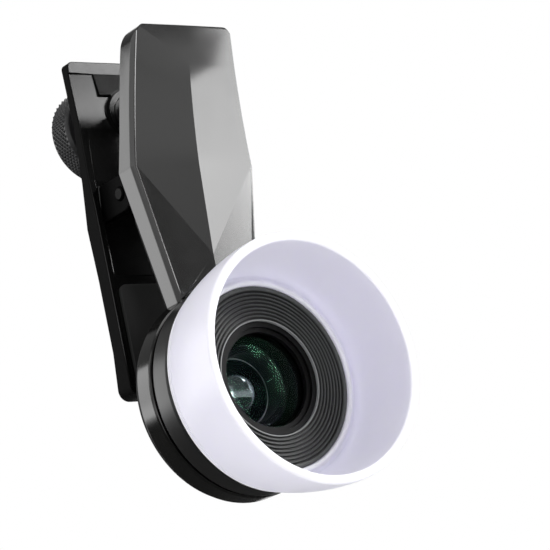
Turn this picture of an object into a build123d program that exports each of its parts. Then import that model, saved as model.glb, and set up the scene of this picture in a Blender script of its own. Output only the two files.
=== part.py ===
"""Clip-on macro lens: a sprung clip, a screwed-in lens and its diffuser hood.

Frame, in millimetres: the lens axis is the Y axis and the lens looks along -Y. Z is up,
towards the finger levers, and X runs across the clip. The origin is on the lens axis, in
the plane of the front jaw pad's gripping face. A depth is a distance in front of that
plane, so a depth of 5 lies at y = -5.
"""
import os
from math import acos, atan2, cos, degrees, hypot, pi, radians, sin, tan

from build123d import *

# Fits
run_gap = 0.05          # radial clearance of a turning or sliding round fit
seat_gap = 0.02         # radial clearance of a glued or pressed seat
hood_gap = 0.1          # radial clearance of the pushed-on hood
side_gap = 0.25         # air between faces that pass each other

# Jaws and what they hold
jaw_gap = 8.2           # thickness held between the pads in this pose
pad_thick = 1.0
port_radius = 9.5       # sight hole through the front pad
pad_inset = 0.6         # pad's edge inside the arm's edge
pad_corner_radius = 1.5
pad_top_gap = 2.0       # from the pad's top to the hinge ears

# Front arm, seen from the front
arm_thick = 4.4         # round end and neck
disc_radius = 19.5
disc_chamfer = 0.3
neck_root_height = 17.0
neck_root_half = 8.5
neck_lean = 0.5         # how far the face leans forward from the root to the bend
bend_height = 43.0
bend_half = 13.25
lever_length = 26.0     # from the bend to the top of the front lever
crown_fade = 7.5        # length of the ridge's slope down to the top
top_half = 10.6
bevel_out = 0.55
bevel_back = 1.0
top_corner_radius = 4.0
bend_corner_radius = 1.5

# Front arm, seen from the side
lever_tilt = 7.6        # degrees that the front lever leans forward at the bend
lever_sweep = 0.0028    # how fast that lean grows with height
lever_spans = 4         # flats that follow the sweep
lever_depth = 4.4
crown_slope = 0.106     # rise of the centre ridge for each millimetre of half width
knee_height = 26.0      # where the two slanting creases meet the ridge
knee_rise = 0.6
root_rise = 0.4
tip_rise = 0.1          # what is left of the ridge at the top
skin_margin = 3.0       # how far the face is drawn past its outline before it is cut
lever_plate = 2.2       # skin of the lever outside its pocket
lever_wall = 1.7
pocket_foot_rise = 0.4  # foot of the pockets above the bend
top_wall = 2.0
rib_thick = 1.2
pocket_corner_radius = 0.6

# Hinge
pivot_y = 4.1
pivot_drop = 2.0        # hinge below the bend
pin_radius = 1.25
ear_radius = 3.4
front_ear_inner = 5.9
ear_thick = 2.2
pin_end_out = 0.4       # pin standing out of the outer ears
pin_chamfer = 0.25

# Torsion spring
wire_radius = 0.5
coil_radius = 2.9       # centre line of the wire
coil_turns = 5          # whole turns, besides the part turn between the legs
coil_pitch = 1.3
leg_rise = 10.5         # ends of the legs above the hinge
leg_rest_gap = 0.15
bush_wall = 0.7

# Rear arm. Its outer face runs through the heights and distances that are named here,
# and above the jaw its heights are taken from the hinge.
rear_half = 13.0
rear_top_half = 11.3
rear_plate = 1.9
rear_wall = 1.5
rear_bottom_height = 4.0
rear_foot_thick = 4.4   # jaw, at its bottom end
rear_heel_height = 13.0
rear_jaw_thick = 3.4    # jaw above its heel
rear_jaw_top = 27.0
rear_hump_drop = 4.0    # hump below the hinge
rear_hump_y = 13.0
rear_waist_rise = 4.5   # waist above the hinge
rear_waist_y = 11.8
rear_mid_rise = 10.5    # middle of the lever above the waist
rear_mid_y = 11.95
rear_lever_length = 24.3    # from the waist to the top
rear_top_y = 13.6
rear_lip_tall = 2.4
rear_lip_out = 0.5
rear_bridge_half = 6.0  # raised strip that joins the screw's boss to the lip
rear_bridge_tall = 7.0
rear_bottom_radius = 2.2
rear_waist_radius = 2.0
rear_top_radius = 1.3
rear_pocket_radius = 0.8
rear_pad_inset = 1.4
rear_pad_top_gap = 2.0

# Lock screw
screw_drop = 10.9       # screw below the top of the rear lever
stud_radius = 2.5
stud_neck_radius = 1.5
nut_radius = 3.7
nut_length = 4.6
boss_radius = 5.1
boss_out = 2.3          # boss standing out behind the rear plate
knob_radius = 9.4
knob_thick = 5.8
knob_flutes = 36
flute_radius = 0.42
knob_hub_radius = 4.4
knob_hub_out = 0.8
knob_dish_radius = 6.6
knob_dish_depth = 0.9
knob_edge = 0.6         # chamfer of the rim
knob_floor = 1.2        # knob left between its dish and the stud's end
knob_back_y = 24.2      # outer face of the knob in this pose
foot_radius = 3.2
foot_thick = 2.2
foot_chamfer = 0.5
foot_floor = 0.7        # foot left in front of the stud's neck
foot_face_y = 2.6       # pressing face of the foot in this pose

# Screw thread that carries the lens
thread_radius = 8.5     # 17 mm thread
insert_wall = 2.1
insert_back_step = 0.2

# Lens, depths from the pad plane
stub_back_depth = 1.4
stub_chamfer = 0.3
stub_bore_radius = 7.0
throat_radius = 6.2     # shoulder in front of the rear glass
mount_radius = 18.2
mount_gap = 0.7         # dark groove between the arm and the barrel
mount_plate = 2.0
barrel_radius = 19.5
barrel_length = 4.5
barrel_edge = 0.35
groove_length = 1.1
groove_radius = 18.5
spigot_radius = 16.9
front_depth = 14.9      # front face of the ridged bezel
bezel_thick = 1.6
bezel_inner_radius = 10.6
ridge_count = 8
ridge_depth = 0.35
ridge_step = 0.15       # ridge tops below the ring's own front face
ridge_flank_share = 0.15
ridge_floor_share = 0.4
bezel_lip = 0.7
cell_radius = 12.4
cell_bore_radius = 9.6
cell_front_step = 0.7
cell_floor = 0.8
cell_floor_radius = 7.4

# Glass and its rings
front_glass_edge = 1.1
front_glass_bulge = 1.3
middle_glass_edge = 1.2
middle_glass_bulge = 0.5
spacer_length = 1.5
ring_width = 0.8
front_ring_length = 0.9
rear_glass_edge = 1.3
rear_glass_bulge = 0.5      # back face
rear_glass_crown = 3.0      # front face
rear_glass_depth = 3.3
rear_ring_length = 0.9

# Diffuser hood
hood_base_radius = 20.1
hood_rim_radius = 22.9
hood_length = 16.4
hood_bulge = 0.7
hood_wall = 1.7
collar_length = 3.7
collar_wall_front = 1.9
hood_groove_width = 0.35
hood_groove_depth = 0.3
hood_groove_start = 0.55
hood_groove_pitch = 0.9
rim_round = 0.35


# Places worked out from the sizes above
top_height = bend_height + lever_length
crown_end_height = top_height - crown_fade
pocket_foot_height = bend_height + pocket_foot_rise
pivot_height = bend_height - pivot_drop
leg_end_height = pivot_height + leg_rise
rear_hump_height = pivot_height - rear_hump_drop
rear_waist_height = pivot_height + rear_waist_rise
rear_mid_height = rear_waist_height + rear_mid_rise
rear_top_height = rear_waist_height + rear_lever_length
rear_bridge_foot = rear_top_height - rear_bridge_tall
screw_height = rear_top_height - screw_drop
arm_front = pad_thick + arm_thick
bend_face_y = -arm_front - neck_lean
mount_front = arm_front + mount_gap + mount_plate
barrel_back = arm_front + mount_gap
barrel_front = barrel_back + barrel_length
spigot_back = barrel_front + groove_length
bezel_back = front_depth - bezel_thick
rear_jaw_y = jaw_gap + pad_thick
rear_glass_front = rear_glass_depth + rear_glass_edge


def revolve_profile(points):
    """Turn a closed outline of (radius, depth) points round the lens axis."""
    outline = make_face(Polyline(*[(r, -depth, 0) for r, depth in points], close=True))
    return revolve(outline, Axis.Y, 360)


def tube(outer, inner, back, front):
    """A plain ring round the lens axis between two depths."""
    return revolve_profile([(inner, back), (outer, back), (outer, front), (inner, front)])


def cylinder_y(radius, low, high, height=0.0, x=0.0):
    """A cylinder along Y from low to high, at the given height."""
    body = Cylinder(radius, high - low, rotation=(90, 0, 0))
    return Pos(x, (low + high) / 2, height) * body


def cylinder_x(radius, low, high, y, height):
    """A cylinder along X from low to high."""
    body = Cylinder(radius, high - low, rotation=(0, 90, 0))
    return Pos((low + high) / 2, y, height) * body


def block(low, high):
    """A box between two corners."""
    size = [b - a for a, b in zip(low, high)]
    middle = [(a + b) / 2 for a, b in zip(low, high)]
    return Pos(*middle) * Box(*size)


def facet_solid(points, facets):
    """A closed solid from flat facets, each a ring of point numbers."""
    faces = []
    for ring in facets:
        corners = [points[i] for i in ring]
        faces.append(Face(Wire.make_polygon(corners, close=True)))
    return Solid(Shell(faces))


def front_plate(corners, radii, low, high):
    """Extrude an outline of (x, z) corners from y = low to y = high, its corners rounded."""
    outline = FilletPolyline(*[(x, 0, z) for x, z in corners], radius=radii, close=True)
    face = make_face(outline)
    plate = extrude(face, amount=high - low, dir=(0, 1, 0))
    return Pos(0, low, 0) * plate


# Front arm
def neck_half(height):
    """Half width of the front arm's face at a height below the bend."""
    share = (height - neck_root_height) / (bend_height - neck_root_height)
    return neck_root_half + share * (bend_half - neck_root_half)


def lever_half(height):
    """Half width of the front arm's face at a height above the bend."""
    share = (height - bend_height) / (top_height - bend_height)
    return bend_half + share * (top_half - bend_half)


def lever_face_y(height):
    """Where the face's edge lies above the bend, on its forward sweep."""
    rise = height - bend_height
    return bend_face_y - rise * tan(radians(lever_tilt)) - lever_sweep * rise * rise


def lever_heights(low, high):
    """Even heights from low to high, where the lever's flats meet."""
    return [low + (high - low) * i / lever_spans for i in range(lever_spans + 1)]


def skin_stations():
    """Height, half width, edge depth and ridge rise of each row of points on the face."""
    base = neck_root_height / 2
    crown_foot = top_height - bevel_out
    stations = [
        (base, neck_half(base), -arm_front, root_rise),
        (neck_root_height, neck_root_half, -arm_front, root_rise),
    ]
    for height in lever_heights(bend_height, crown_end_height):
        half = lever_half(height)
        stations.append((height, half, lever_face_y(height), crown_slope * half))
    stations.append((crown_foot, lever_half(crown_foot), lever_face_y(crown_foot), tip_rise))
    return stations


def arm_skin():
    """The faceted front of the arm, taken past its outline, with a flat back behind it."""
    back_fall = skin_margin * bevel_back / bevel_out
    stations = skin_stations()
    crown_foot, tip_half, tip_y = stations[-1][:3]
    stations.append((crown_foot + skin_margin, tip_half, tip_y + back_fall, 0))
    points = []
    for height, half, face_y, rise in stations:
        edge_y = face_y + back_fall
        for side in (-1, 1):
            points.append((side * (half + skin_margin), disc_radius, height))
            points.append((side * (half + skin_margin), edge_y, height))
            points.append((side * half, face_y, height))
        points.append((0, face_y - rise, height))
    knee = len(points)
    points.append((0, -arm_front - knee_rise, knee_height))
    facets = []
    rows = len(stations)
    for i in range(rows - 1):
        low, high = 7 * i, 7 * (i + 1)
        for left in (0, 3):
            facets.append([low + left, low + left + 1, high + left + 1, high + left])
            facets.append([low + left + 1, low + left + 2, high + left + 2])
            facets.append([low + left + 1, high + left + 2, high + left + 1])
            if i == 1:
                facets.append([low + left + 2, low + 6, knee])
                facets.append([low + left + 2, knee, high + left + 2])
                facets.append([high + left + 2, knee, high + 6])
            else:
                facets.append([low + left + 2, low + 6, high + left + 2])
                facets.append([low + 6, high + 6, high + left + 2])
        facets.append([low, low + 3, high + 3, high])
    for row in (0, rows - 1):
        start = 7 * row
        facets.append([start, start + 1, start + 2, start + 6, start + 5, start + 4, start + 3])
    return facet_solid(points, facets)


def arm_outline():
    """The neck and lever seen from the front, as a thick plate."""
    base = neck_root_height / 2
    left = [
        (-(neck_half(base) + bevel_out), base),
        (-(bend_half + bevel_out), bend_height),
        (-(top_half + bevel_out), top_height),
    ]
    right = [(-x, z) for x, z in reversed(left)]
    radii = [0, bend_corner_radius, top_corner_radius, top_corner_radius, bend_corner_radius, 0]
    return front_plate(left + right, radii, -disc_radius, disc_radius)


def arm_backs():
    """Everything behind the neck's flat back and the lever's slanting back."""
    high = top_height + top_wall
    slant = [(lever_face_y(z) + lever_depth, z) for z in lever_heights(bend_height, high)]
    profile = [(2 * disc_radius, high), (2 * disc_radius, 0), (-pad_thick, 0), (-pad_thick, bend_height)]
    return side_slab(profile + slant[1:])


def lever_pocket(inner_low, inner_high):
    """One pocket in the lever's back between two distances from the middle."""
    low = pocket_foot_height
    high = top_height - top_wall
    floor = [(lever_face_y(z) + lever_plate, z) for z in lever_heights(low, high)]
    slab = side_slab(floor + [(disc_radius, high), (disc_radius, low)])
    corners = [
        (inner_low, low),
        (min(inner_high, lever_half(low) + bevel_out - lever_wall), low),
        (min(inner_high, lever_half(high) + bevel_out - lever_wall), high),
        (inner_low, high),
    ]
    return slab & front_plate(corners, [pocket_corner_radius] * 4, -disc_radius, disc_radius)


def front_ear(side):
    """An ear on the arm's back that holds the hinge pin."""
    inner = side * front_ear_inner
    outer = side * (front_ear_inner + ear_thick)
    low, high = min(inner, outer), max(inner, outer)
    round_end = cylinder_x(ear_radius, low, high, pivot_y, pivot_height)
    root = block(
        (low, -pad_thick - lever_plate, pivot_height - ear_radius),
        (high, pivot_y, pivot_height + ear_radius),
    )
    return round_end + root


def make_front_arm():
    disc = cylinder_y(disc_radius, -arm_front, -pad_thick)
    disc = chamfer(disc.edges().filter_by(GeomType.CIRCLE), disc_chamfer)
    body = (arm_outline() & arm_skin()) - arm_backs()
    body = body + disc
    rib_side = rib_inner()
    body -= lever_pocket(-rib_side, rib_side)
    right = lever_pocket(rib_side + rib_thick, bend_half)
    body -= right
    body -= mirror(right, Plane.YZ)
    for side in (-1, 1):
        body += front_ear(side)
    body -= cylinder_x(pin_radius + seat_gap, -bend_half, bend_half, pivot_y, pivot_height)
    body -= cylinder_y(disc_radius + side_gap, -2 * arm_front, -arm_front)
    seat = thread_radius + run_gap + insert_wall + seat_gap
    body -= cylinder_y(seat, -2 * arm_front, 0)
    return body


def make_front_jaw_pad():
    top = pivot_height - ear_radius - pad_top_gap
    base = neck_root_height / 2
    disc = cylinder_y(disc_radius - pad_inset, -pad_thick, 0)
    half = neck_half(top) + bevel_out - pad_inset
    root = neck_half(base) + bevel_out - pad_inset
    corners = [(-root, base), (-half, top), (half, top), (root, base)]
    neck = front_plate(corners, [0, pad_corner_radius, pad_corner_radius, 0], -pad_thick, 0)
    return disc + neck - cylinder_y(port_radius, -2 * pad_thick, pad_thick)


def make_thread_insert():
    inner = thread_radius + run_gap
    return tube(inner + insert_wall, inner, pad_thick + insert_back_step, arm_front)


# Hinge
def outer_ear_inner():
    return front_ear_inner + ear_thick + side_gap


def make_pivot_pin():
    reach = outer_ear_inner() + ear_thick + pin_end_out
    pin = cylinder_x(pin_radius, -reach, reach, pivot_y, pivot_height)
    return chamfer(pin.edges().filter_by(GeomType.CIRCLE), pin_chamfer)


def make_spring_bushing():
    reach = front_ear_inner - side_gap
    inner = pin_radius + run_gap
    outer = cylinder_x(inner + bush_wall, -reach, reach, pivot_y, pivot_height)
    return outer - cylinder_x(inner, -bend_half, bend_half, pivot_y, pivot_height)


def leg_start(foot_y, side):
    """Angle round the hinge at which a leg leaves the coil for its foot, and its length."""
    across = foot_y - pivot_y
    up = leg_end_height - pivot_height
    reach = hypot(across, up)
    angle = degrees(atan2(up, across) - side * acos(coil_radius / reach))
    return angle, (reach * reach - coil_radius * coil_radius) ** 0.5


def spring_legs():
    """For the front and the rear leg: the angle at which it leaves the coil, and its length."""
    front_foot = lever_face_y(leg_end_height) + lever_plate + wire_radius + leg_rest_gap
    rear_share = (leg_end_height - rear_waist_height) / (rear_mid_height - rear_waist_height)
    rear_floor = rear_waist_y + rear_share * (rear_mid_y - rear_waist_y) - rear_plate
    rear_foot = rear_floor - wire_radius - leg_rest_gap
    return leg_start(front_foot, -1), leg_start(rear_foot, 1)


def coil_length():
    """Length of the coil along the hinge, between the places where its legs leave it."""
    (start, _), (end, _) = spring_legs()
    return coil_pitch * ((end - start) % 360 / 360 + coil_turns)


def rib_inner():
    """Inner face of the lever's ribs, clear of the front leg, which spreads with the pitch."""
    leg_length = spring_legs()[0][1]
    spread = leg_length * coil_pitch / hypot(coil_pitch, 2 * pi * coil_radius)
    return coil_length() / 2 + spread + wire_radius + side_gap


def make_torsion_spring():
    """The coil on its bush: each leg leaves it at a tangent and rests in a lever."""
    (start, front_length), (_, rear_length) = spring_legs()
    length = coil_length()
    helix = Rot(0, 90, 0) * Helix(coil_pitch, length, coil_radius)
    coil = (Pos(-length / 2, pivot_y, pivot_height) * Rot(start + 90, 0, 0) * helix).edges()[0]
    front_leg = Edge.make_line(coil @ 0 - (coil % 0) * front_length, coil @ 0)
    rear_leg = Edge.make_line(coil @ 1, coil @ 1 + (coil % 1) * rear_length)
    path = Wire([front_leg, coil, rear_leg])
    section = Plane(origin=path @ 0, z_dir=path % 0) * Circle(wire_radius)
    return sweep(section, path=path)


# Rear arm
def rear_outline(inset, base, radii):
    """The rear arm seen from the front, drawn in by a wall's thickness."""
    left = [
        (-(rear_half - inset), base),
        (-(rear_half - inset), rear_waist_height),
        (-(rear_top_half - inset), rear_top_height),
    ]
    right = [(-x, z) for x, z in reversed(left)]
    return front_plate(left + right, radii, -disc_radius, 2 * disc_radius)


def side_slab(profile, half=disc_radius):
    """Extrude a side view of (y, z) points across the clip."""
    face = make_face(Polyline(*[(-half, y, z) for y, z in profile], close=True))
    return extrude(face, amount=2 * half, dir=(1, 0, 0))


def rear_back_line(inset):
    """The rear arm's outer face, from its foot to its top, moved in by an inset."""
    jaw_back = rear_jaw_y + rear_jaw_thick
    return [
        (rear_jaw_y + rear_foot_thick - inset, rear_bottom_height),
        (jaw_back - inset, rear_heel_height),
        (jaw_back - inset, rear_jaw_top),
        (rear_hump_y - inset, rear_hump_height),
        (rear_waist_y - inset, rear_waist_height),
        (rear_mid_y - inset, rear_mid_height),
        (rear_top_y - inset, rear_top_height),
    ]


def rear_lever_face(height):
    """Where the rear lever's inner face lies above its waist."""
    share = (height - rear_mid_height) / (rear_top_height - rear_mid_height)
    return rear_mid_y + share * (rear_top_y - rear_mid_y) - rear_plate


def rear_ear(side):
    """An ear between the plate and the hinge pin, outside the front arm's ear."""
    inner = side * outer_ear_inner()
    outer = side * (outer_ear_inner() + ear_thick)
    low, high = min(inner, outer), max(inner, outer)
    round_end = cylinder_x(ear_radius, low, high, pivot_y, pivot_height)
    root = block((low, pivot_y, pivot_height - ear_radius), (high, rear_hump_y, pivot_height + ear_radius))
    before_plate = side_slab(
        rear_back_line(rear_plate / 2) + [(-disc_radius, rear_top_height), (-disc_radius, rear_bottom_height)]
    )
    return round_end + (root & before_plate)


def make_rear_arm():
    lip_foot = rear_top_height - rear_lip_tall
    lip_y = rear_lever_face(rear_top_height) - rear_lip_out
    rim = [
        (lip_y, rear_top_height),
        (lip_y, lip_foot),
        (rear_lever_face(lip_foot), lip_foot),
        (rear_lever_face(rear_mid_height), rear_mid_height),
        (rear_jaw_y, pivot_height),
        (rear_jaw_y, rear_bottom_height),
    ]
    radii = [rear_bottom_radius, rear_waist_radius, rear_top_radius]
    outline = rear_outline(0, rear_bottom_height, radii + radii[::-1])
    body = outline & side_slab(rear_back_line(0) + rim)
    inner_face = [point for point in rear_back_line(rear_plate) if point[1] >= rear_jaw_top][:-1]
    open_side = [(-disc_radius, rear_mid_height), (-disc_radius, rear_jaw_top)]
    radii = [rear_pocket_radius] * 6
    body -= rear_outline(rear_wall, rear_jaw_top, radii) & side_slab(inner_face + open_side)
    bridge = [
        (lip_y, rear_top_height),
        (lip_y, lip_foot),
        (rear_lever_face(rear_bridge_foot) - rear_lip_out, rear_bridge_foot),
        (rear_lever_face(rear_bridge_foot) + rear_plate / 2, rear_bridge_foot),
        (rear_lever_face(rear_top_height) + rear_plate / 2, rear_top_height),
    ]
    body += side_slab(bridge, rear_bridge_half)
    boss_back = rear_mid_y + boss_out
    body += cylinder_y(boss_radius, boss_back - nut_length, boss_back, screw_height)
    for side in (-1, 1):
        body += rear_ear(side)
    body -= cylinder_x(pin_radius + run_gap, -rear_half, rear_half, pivot_y, pivot_height)
    body -= cylinder_y(nut_radius + seat_gap, 0, 2 * boss_back, screw_height)
    return body


def make_rear_jaw_pad():
    half = rear_half - rear_pad_inset
    low = rear_bottom_height + rear_pad_inset
    high = rear_jaw_top - rear_pad_top_gap
    low_radius = rear_bottom_radius - pad_inset
    corners = [(-half, low), (half, low), (half, high), (-half, high)]
    radii = [low_radius, low_radius, pad_corner_radius, pad_corner_radius]
    return front_plate(corners, radii, jaw_gap, rear_jaw_y)


# Lock screw
def make_nut_insert():
    back = rear_mid_y + boss_out
    ring = cylinder_y(nut_radius, back - nut_length, back, screw_height)
    return ring - cylinder_y(stud_radius + run_gap, 0, 2 * back, screw_height)


def make_screw_foot():
    back = foot_face_y + foot_thick
    foot = cylinder_y(foot_radius, foot_face_y, back, screw_height)
    foot = chamfer(foot.edges().filter_by(GeomType.CIRCLE).sort_by(Axis.Y)[0], foot_chamfer)
    return foot - cylinder_y(stud_neck_radius + run_gap, foot_face_y + foot_floor, 2 * back, screw_height)


def stud_end_y():
    """Where the stud ends inside the knob, below the knob's dish."""
    return knob_back_y - knob_dish_depth - knob_floor


def make_clamp_stud():
    shoulder = foot_face_y + foot_thick + side_gap
    tip = foot_face_y + foot_floor + side_gap
    shank = cylinder_y(stud_radius, shoulder, stud_end_y(), screw_height)
    return shank + cylinder_y(stud_neck_radius, tip, shoulder, screw_height)


def make_knob():
    near = knob_back_y - knob_thick
    knob = cylinder_y(knob_radius, near, knob_back_y, screw_height)
    knob = chamfer(knob.edges().filter_by(GeomType.CIRCLE), knob_edge)
    for i in range(knob_flutes):
        turn = radians(360 * i / knob_flutes)
        x = knob_radius * cos(turn)
        z = screw_height + knob_radius * sin(turn)
        knob -= cylinder_y(flute_radius, near - knob_thick, knob_back_y + knob_thick, z, x)
    knob += cylinder_y(knob_hub_radius, near - knob_hub_out, near, screw_height)
    knob -= cylinder_y(knob_dish_radius, knob_back_y - knob_dish_depth, 2 * knob_back_y, screw_height)
    return knob - cylinder_y(stud_radius, near - knob_thick, stud_end_y(), screw_height)


# Lens
def make_lens_mount():
    return revolve_profile([
        (stub_bore_radius, stub_back_depth),
        (thread_radius - stub_chamfer, stub_back_depth),
        (thread_radius, stub_back_depth + stub_chamfer),
        (thread_radius, arm_front),
        (mount_radius, arm_front),
        (mount_radius, mount_front),
        (throat_radius, mount_front),
        (throat_radius, rear_glass_front),
        (stub_bore_radius, rear_glass_front),
    ])


def make_lens_barrel():
    web = mount_front
    seat = mount_radius + seat_gap
    cell_seat = cell_radius + seat_gap
    return revolve_profile([
        (seat, barrel_back),
        (barrel_radius - barrel_edge, barrel_back),
        (barrel_radius, barrel_back + barrel_edge),
        (barrel_radius, barrel_front - barrel_edge),
        (barrel_radius - barrel_edge, barrel_front),
        (groove_radius, barrel_front),
        (groove_radius, spigot_back),
        (spigot_radius, spigot_back),
        (spigot_radius, bezel_back),
        (cell_seat, bezel_back),
        (cell_seat, web),
        (seat, web),
    ])


def make_inner_cell():
    back = mount_front
    front = front_depth - cell_front_step
    return revolve_profile([
        (cell_floor_radius, back),
        (cell_radius, back),
        (cell_radius, bezel_back),
        (bezel_inner_radius - seat_gap, bezel_back),
        (bezel_inner_radius - seat_gap, front),
        (cell_bore_radius, front),
        (cell_bore_radius, back + cell_floor),
        (cell_floor_radius, back + cell_floor),
    ])


def make_ridged_bezel():
    """The black front ring, its face cut into fine rings round the glass."""
    inner = bezel_inner_radius
    outer = spigot_radius
    face = front_depth - ridge_step
    points = [(inner, bezel_back), (outer, bezel_back), (outer, front_depth), (outer - bezel_lip, front_depth)]
    width = (outer - bezel_lip - inner) / ridge_count
    for i in range(ridge_count):
        start = outer - bezel_lip - i * width
        flank = ridge_flank_share * width
        floor = ridge_floor_share * width
        points.append((start - flank, face - ridge_depth))
        points.append((start - flank - floor, face - ridge_depth))
        points.append((start - 2 * flank - floor, face))
        points.append((start - width, face))
    return revolve_profile(points)


def dome_middle(radius, rim_depth, bulge):
    """The point half way out on the arc of a rounded glass face."""
    arc_radius = (radius * radius + bulge * bulge) / (2 * abs(bulge))
    fall = arc_radius - (arc_radius * arc_radius - radius * radius / 4) ** 0.5
    rise = abs(bulge) - fall
    return (radius / 2, -rim_depth - rise * bulge / abs(bulge), 0)


def lens_shape(radius, back, edge, back_bulge, front_bulge):
    """A glass disc round the lens axis, rounded inside the flat rim that its rings hold."""
    front = back + edge
    dome = radius - ring_width
    lines = [Line((0, -back + back_bulge, 0), (0, -front - front_bulge, 0))]
    if front_bulge:
        crown = (0, -front - front_bulge, 0)
        lines.append(ThreePointArc(crown, dome_middle(dome, front, front_bulge), (dome, -front, 0)))
        lines.append(Line((dome, -front, 0), (radius, -front, 0)))
    else:
        lines.append(Line((0, -front, 0), (radius, -front, 0)))
    lines.append(Line((radius, -front, 0), (radius, -back, 0)))
    if back_bulge:
        crown = (0, -back + back_bulge, 0)
        lines.append(Line((radius, -back, 0), (dome, -back, 0)))
        lines.append(ThreePointArc((dome, -back, 0), dome_middle(dome, back, -back_bulge), crown))
    else:
        lines.append(Line((radius, -back, 0), (0, -back, 0)))
    return revolve(make_face(lines), Axis.Y, 360)


def optics_depths():
    """Depths of the pieces stacked on the cell's floor, from the back to the front."""
    middle_back = mount_front + cell_floor
    spacer_back = middle_back + middle_glass_edge
    front_back = spacer_back + spacer_length
    ring_back = front_back + front_glass_edge
    return middle_back, spacer_back, front_back, ring_back


def make_middle_glass():
    middle_back = optics_depths()[0]
    return lens_shape(cell_bore_radius - seat_gap, middle_back, middle_glass_edge, 0, middle_glass_bulge)


def make_spacer_ring():
    back = optics_depths()[1]
    outer = cell_bore_radius - seat_gap
    return tube(outer, outer - ring_width, back, back + spacer_length)


def make_front_glass():
    back = optics_depths()[2]
    return lens_shape(cell_bore_radius - seat_gap, back, front_glass_edge, 0, front_glass_bulge)


def make_front_retaining_ring():
    back = optics_depths()[3]
    outer = cell_bore_radius - seat_gap
    return tube(outer, outer - ring_width, back, back + front_ring_length)


def make_rear_glass():
    radius = stub_bore_radius - seat_gap
    return lens_shape(radius, rear_glass_depth, rear_glass_edge, rear_glass_bulge, rear_glass_crown)


def make_rear_retaining_ring():
    outer = stub_bore_radius - seat_gap
    return tube(outer, outer - ring_width, rear_glass_depth - rear_ring_length, rear_glass_depth)


# Diffuser hood
def hood_radius(depth):
    """Radius of the hood's softly rounded outside at a depth."""
    share = (depth - spigot_back) / hood_length
    return hood_base_radius + share * (hood_rim_radius - hood_base_radius) + 4 * hood_bulge * share * (1 - share)


def make_diffuser_hood():
    back = spigot_back
    front = back + hood_length
    collar_inner = spigot_radius + hood_gap
    collar_front = back + collar_length
    inside_base = collar_inner + collar_wall_front
    inside_rim = hood_rim_radius - hood_wall
    middle = (back + front) / 2
    inner_middle = (collar_front + front) / 2
    lines = [
        Line((collar_inner, -back, 0), (hood_base_radius, -back, 0)),
        ThreePointArc(
            (hood_base_radius, -back, 0),
            (hood_radius(middle), -middle, 0),
            (hood_rim_radius, -front + rim_round, 0),
        ),
        Line((hood_rim_radius, -front + rim_round, 0), (hood_rim_radius - rim_round, -front, 0)),
        Line((hood_rim_radius - rim_round, -front, 0), (inside_rim, -front, 0)),
        ThreePointArc(
            (inside_rim, -front, 0),
            ((inside_base + inside_rim) / 2 + hood_bulge, -inner_middle, 0),
            (inside_base, -collar_front, 0),
        ),
        Line((inside_base, -collar_front, 0), (collar_inner, -collar_front, 0)),
        Line((collar_inner, -collar_front, 0), (collar_inner, -back, 0)),
    ]
    hood = revolve(make_face(lines), Axis.Y, 360)
    for i in range(2):
        depth = back + hood_groove_start + hood_groove_pitch * i
        cut = tube(2 * hood_rim_radius, hood_radius(depth) - hood_groove_depth, depth, depth + hood_groove_width)
        hood -= cut
    return hood


PARTS = {
    "front_arm": make_front_arm,
    "front_jaw_pad": make_front_jaw_pad,
    "thread_insert": make_thread_insert,
    "pivot_pin": make_pivot_pin,
    "spring_bushing": make_spring_bushing,
    "torsion_spring": make_torsion_spring,
    "rear_arm": make_rear_arm,
    "rear_jaw_pad": make_rear_jaw_pad,
    "nut_insert": make_nut_insert,
    "screw_foot": make_screw_foot,
    "clamp_stud": make_clamp_stud,
    "knob": make_knob,
    "lens_mount": make_lens_mount,
    "lens_barrel": make_lens_barrel,
    "inner_cell": make_inner_cell,
    "ridged_bezel": make_ridged_bezel,
    "middle_glass": make_middle_glass,
    "spacer_ring": make_spacer_ring,
    "front_glass": make_front_glass,
    "front_retaining_ring": make_front_retaining_ring,
    "rear_glass": make_rear_glass,
    "rear_retaining_ring": make_rear_retaining_ring,
    "diffuser_hood": make_diffuser_hood,
}


def main():
    os.makedirs("parts", exist_ok=True)
    for name, make in PARTS.items():
        export_step(make(), f"parts/{name}.step")


main()
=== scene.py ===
# %% [markdown]
# # A clip-on lens
# The object is a sprung clip with two arms. The front arm ends in a round seat that carries
# a black lens barrel, and a milky white hood is pushed on the barrel's front. The solids of
# the real construction are loaded first. They fix every size and place, and what follows
# gives each piece its finish and the detail that a maker's tools would leave on it.

# %% The frame
from math import cos, pi, radians, sin

import bmesh
import bpy
from mathutils import Matrix, Vector


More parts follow.
